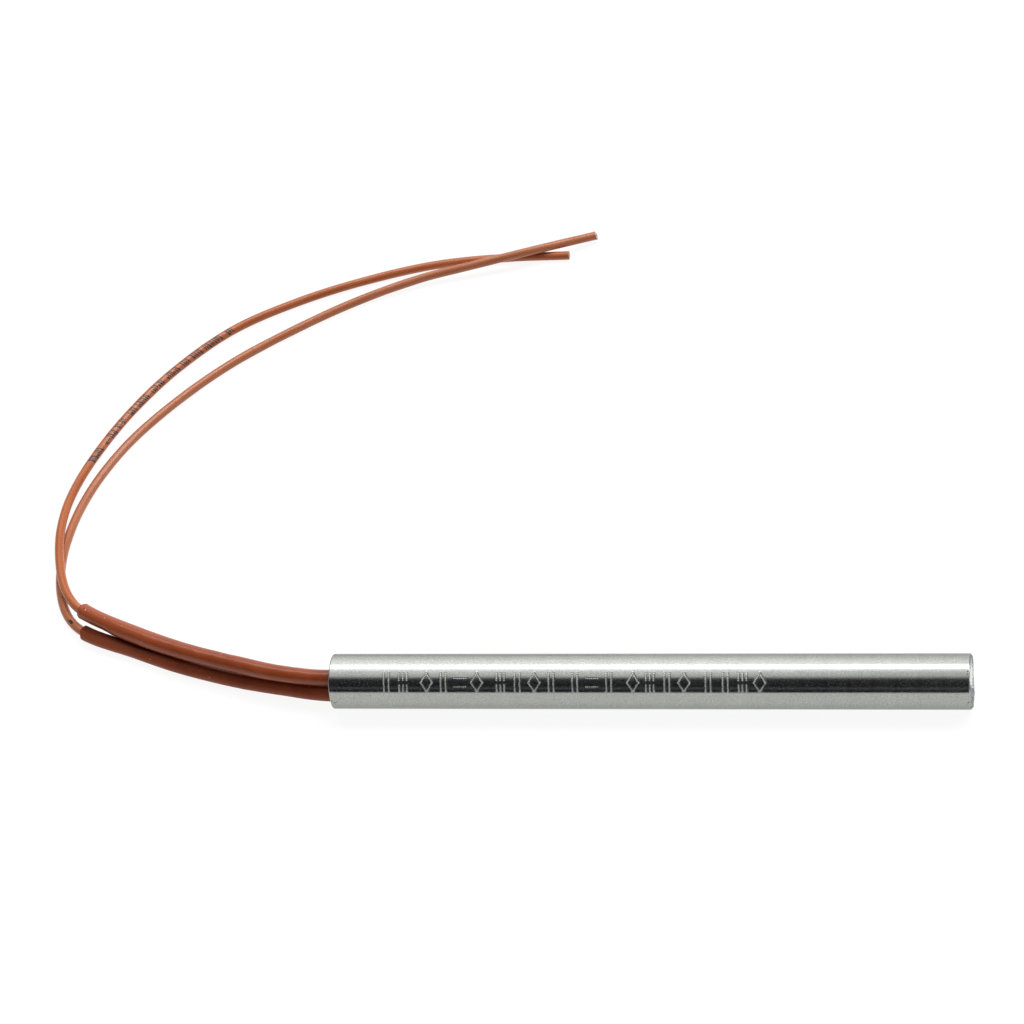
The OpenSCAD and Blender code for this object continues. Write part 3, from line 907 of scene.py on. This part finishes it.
# ---------------------------------------------------------------- lead end seal
def make_seal():
    na = 120
    ang = np.arange(na) * 2 * math.pi / na
    rad = np.concatenate([[0.0], np.linspace(0.15, 4.38, 44)])
    Rg, A = np.meshgrid(rad, ang, indexing="ij")
    ys, zs = Rg * np.cos(A), Rg * np.sin(A)
    X = -52.0 + 0.06 * noise2(ys * 1.6, zs * 1.6, 51) + 0.03 * noise2(ys * 5, zs * 5, 52)
    X = X - 0.45 * np.exp(-(4.38 - Rg) / 0.35)  # it climbs the wall a little
    for k in (1, 2):
        d = np.hypot(ys - EXIT[k][0], zs - (EXIT[k][1] - AXIS_Z))
        X = X - 0.40 * np.exp(-np.maximum(d - 1.45, 0) / 0.3)
    rows = [np.stack([X, ys, AXIS_Z + zs], -1)]
    for x, r in ((-51.65, 4.39), (-48.35, 4.39), (-48.25, 4.3), (-48.25, 0.0)):
        rows.append(np.stack([np.full(na, x), r * np.cos(ang), AXIS_Z + r * np.sin(ang)], -1)[None])
    P = np.concatenate(rows)
    sh = Shell()
    sh.grid(P, P[..., 1], P[..., 2])
    return sh.build("lead_end_seal_potting", [M_CEMENT])


seal = make_seal()
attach(seal, "root")
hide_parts("lead_end_seal")


# ---------------------------------------------------------------- inner pieces keep their CAD shapes
def paint(node, mt):
    ob = nodes_cad[node]
    ob.data.materials.clear()
    ob.data.materials.append(mt)


paint("base_insulator", M_CERAMIC)
paint("terminal_insulator", M_CERAMIC)
for i in range(1, 6):
    paint(f"core_segment_{i}", M_MAGNESIA)
paint("magnesia_fill", M_MAGNESIA)
paint("resistance_winding", M_ALLOY)
for n in ("terminal_pin_long", "terminal_pin_short", "crimp_ferrule_1", "crimp_ferrule_2"):
    paint(n, M_NICKEL)
paint("sheath", M_SHEATH)
paint("end_disc", M_WELD)
paint("lead_end_seal", M_CEMENT)
for k in (1, 2):
    paint(f"lead_wire_{k}", M_WIRE_1 if k == 1 else M_WIRE_2)
    paint(f"lead_sleeve_{k}", M_SLEEVE_1 if k == 1 else M_SLEEVE_2)


# ---------------------------------------------------------------- floor and light
def make_floor():
    me = bpy.data.meshes.new("floor")
    q = 6.0
    me.from_pydata([(-q, -q, 0), (q, -q, 0), (q, q, 0), (-q, q, 0)], [], [(0, 1, 2, 3)])
    ob = bpy.data.objects.new("floor", me)
    scene.collection.objects.link(ob)
    mt, nt, b = material("floor_pale")
    b.inputs["Base Color"].default_value = (0.11, 0.11, 0.11, 1)
    b.inputs["Emission Color"].default_value = (1, 1, 1, 1)  # a light table: it glows, so shadows stay faint
    b.inputs["Emission Strength"].default_value = 0.91
    b.inputs["Roughness"].default_value = 0.9
    b.inputs["Specular IOR Level"].default_value = 0.1
    me.materials.append(mt)
    return ob


make_floor()

world = bpy.data.worlds.new("studio")
scene.world = world
world.use_nodes = True
wt = world.node_tree
bg = wt.nodes["Background"]
k = Nodes(wt)
tc = wt.nodes.new("ShaderNodeTexCoord")
sep = wt.nodes.new("ShaderNodeSeparateXYZ")
k.link(tc.outputs["Generated"], sep.inputs["Vector"])
back = k.math("MULTIPLY", sep.outputs["Y"], -1.0)
elev = k.math("ARCTAN2", sep.outputs["Z"], back)
turn = k.math("DIVIDE", elev, math.pi)
SKY = [  # degrees up from the front horizon and over to the back one, and brightness
    (0, 0.008), (12, 0.008), (15.5, 0.095), (21.5, 0.095), (25, 0.008), (30, 0.008), (50, 0.026), (54, 0.050),
    (58.3, 0.13), (62.4, 0.39), (66.6, 0.82), (75, 1.12), (84, 1.27), (92.7, 1.66), (97.3, 2.16), (101, 2.76),
    (105, 4.1), (116, 4.1), (121.8, 2.35), (127, 2.15), (144.8, 1.77), (158.8, 1.38), (176, 1.18), (180, 1.14),
]
FILL = [  # the same away from that band, to both sides: one long light a little behind overhead
    (0, 0.10), (45, 0.10), (60, 0.16), (70, 0.30), (90, 0.45), (102, 0.85), (106, 9.7), (120, 9.7),
    (124, 0.60), (150, 0.40), (180, 0.35),
]
SIDE = [(0, 0.10), (60, 0.14), (100, 0.34), (140, 0.28), (180, 0.20)]  # past the light's lead end: a plain wall
TOP = 9.7
band = k.ramp(turn, [(a / 180.0, (v / TOP, v / TOP, v / TOP * (1.25 if v < 0.12 else 1.0))) for a, v in SKY])
fill = k.ramp(turn, [(a / 180.0, (v / TOP,) * 3) for a, v in FILL])
off = k.math("ABSOLUTE", k.math("ADD", sep.outputs["X"], 0.185))
where = k.nt.nodes.new("ShaderNodeMapRange")
where.interpolation_type = "SMOOTHSTEP"
where.inputs["From Min"].default_value = 0.12
where.inputs["From Max"].default_value = 0.19
k.link(off, where.inputs["Value"])
ends = k.math(
    "MULTIPLY", k.span(sep.outputs["X"], 0.04, 1.0, -0.49, -0.385), k.span(sep.outputs["X"], 1.0, 0.45, 0.55, 0.92)
)  # it fades towards its ends
fill = k.mix(1.0, fill, ends, "MULTIPLY")
side = k.ramp(turn, [(a / 180.0, (v / TOP,) * 3) for a, v in SIDE])
fill = k.mix(k.span(sep.outputs["X"], 1.0, 0.0, -0.60, -0.50), fill, side)
k.link(k.mix(where.outputs["Result"], band, fill), bg.inputs["Color"])
bg.inputs["Strength"].default_value = TOP
plain = wt.nodes.new("ShaderNodeBackground")  # what is seen behind the floor: plain white
plain.inputs["Color"].default_value = (1, 1, 1, 1)
plain.inputs["Strength"].default_value = 1.0
ray = wt.nodes.new("ShaderNodeLightPath")
pick = wt.nodes.new("ShaderNodeMixShader")
k.link(ray.outputs["Is Camera Ray"], pick.inputs[0])
k.link(bg.outputs["Background"], pick.inputs[1])
k.link(plain.outputs["Background"], pick.inputs[2])
k.link(pick.outputs["Shader"], wt.nodes["World Output"].inputs["Surface"])
scene.view_settings.view_transform = "Standard"
scene.view_settings.look = "None"
scene.view_settings.exposure = 0.0
scene.view_settings.gamma = 1.0

bpy.context.view_layer.update()
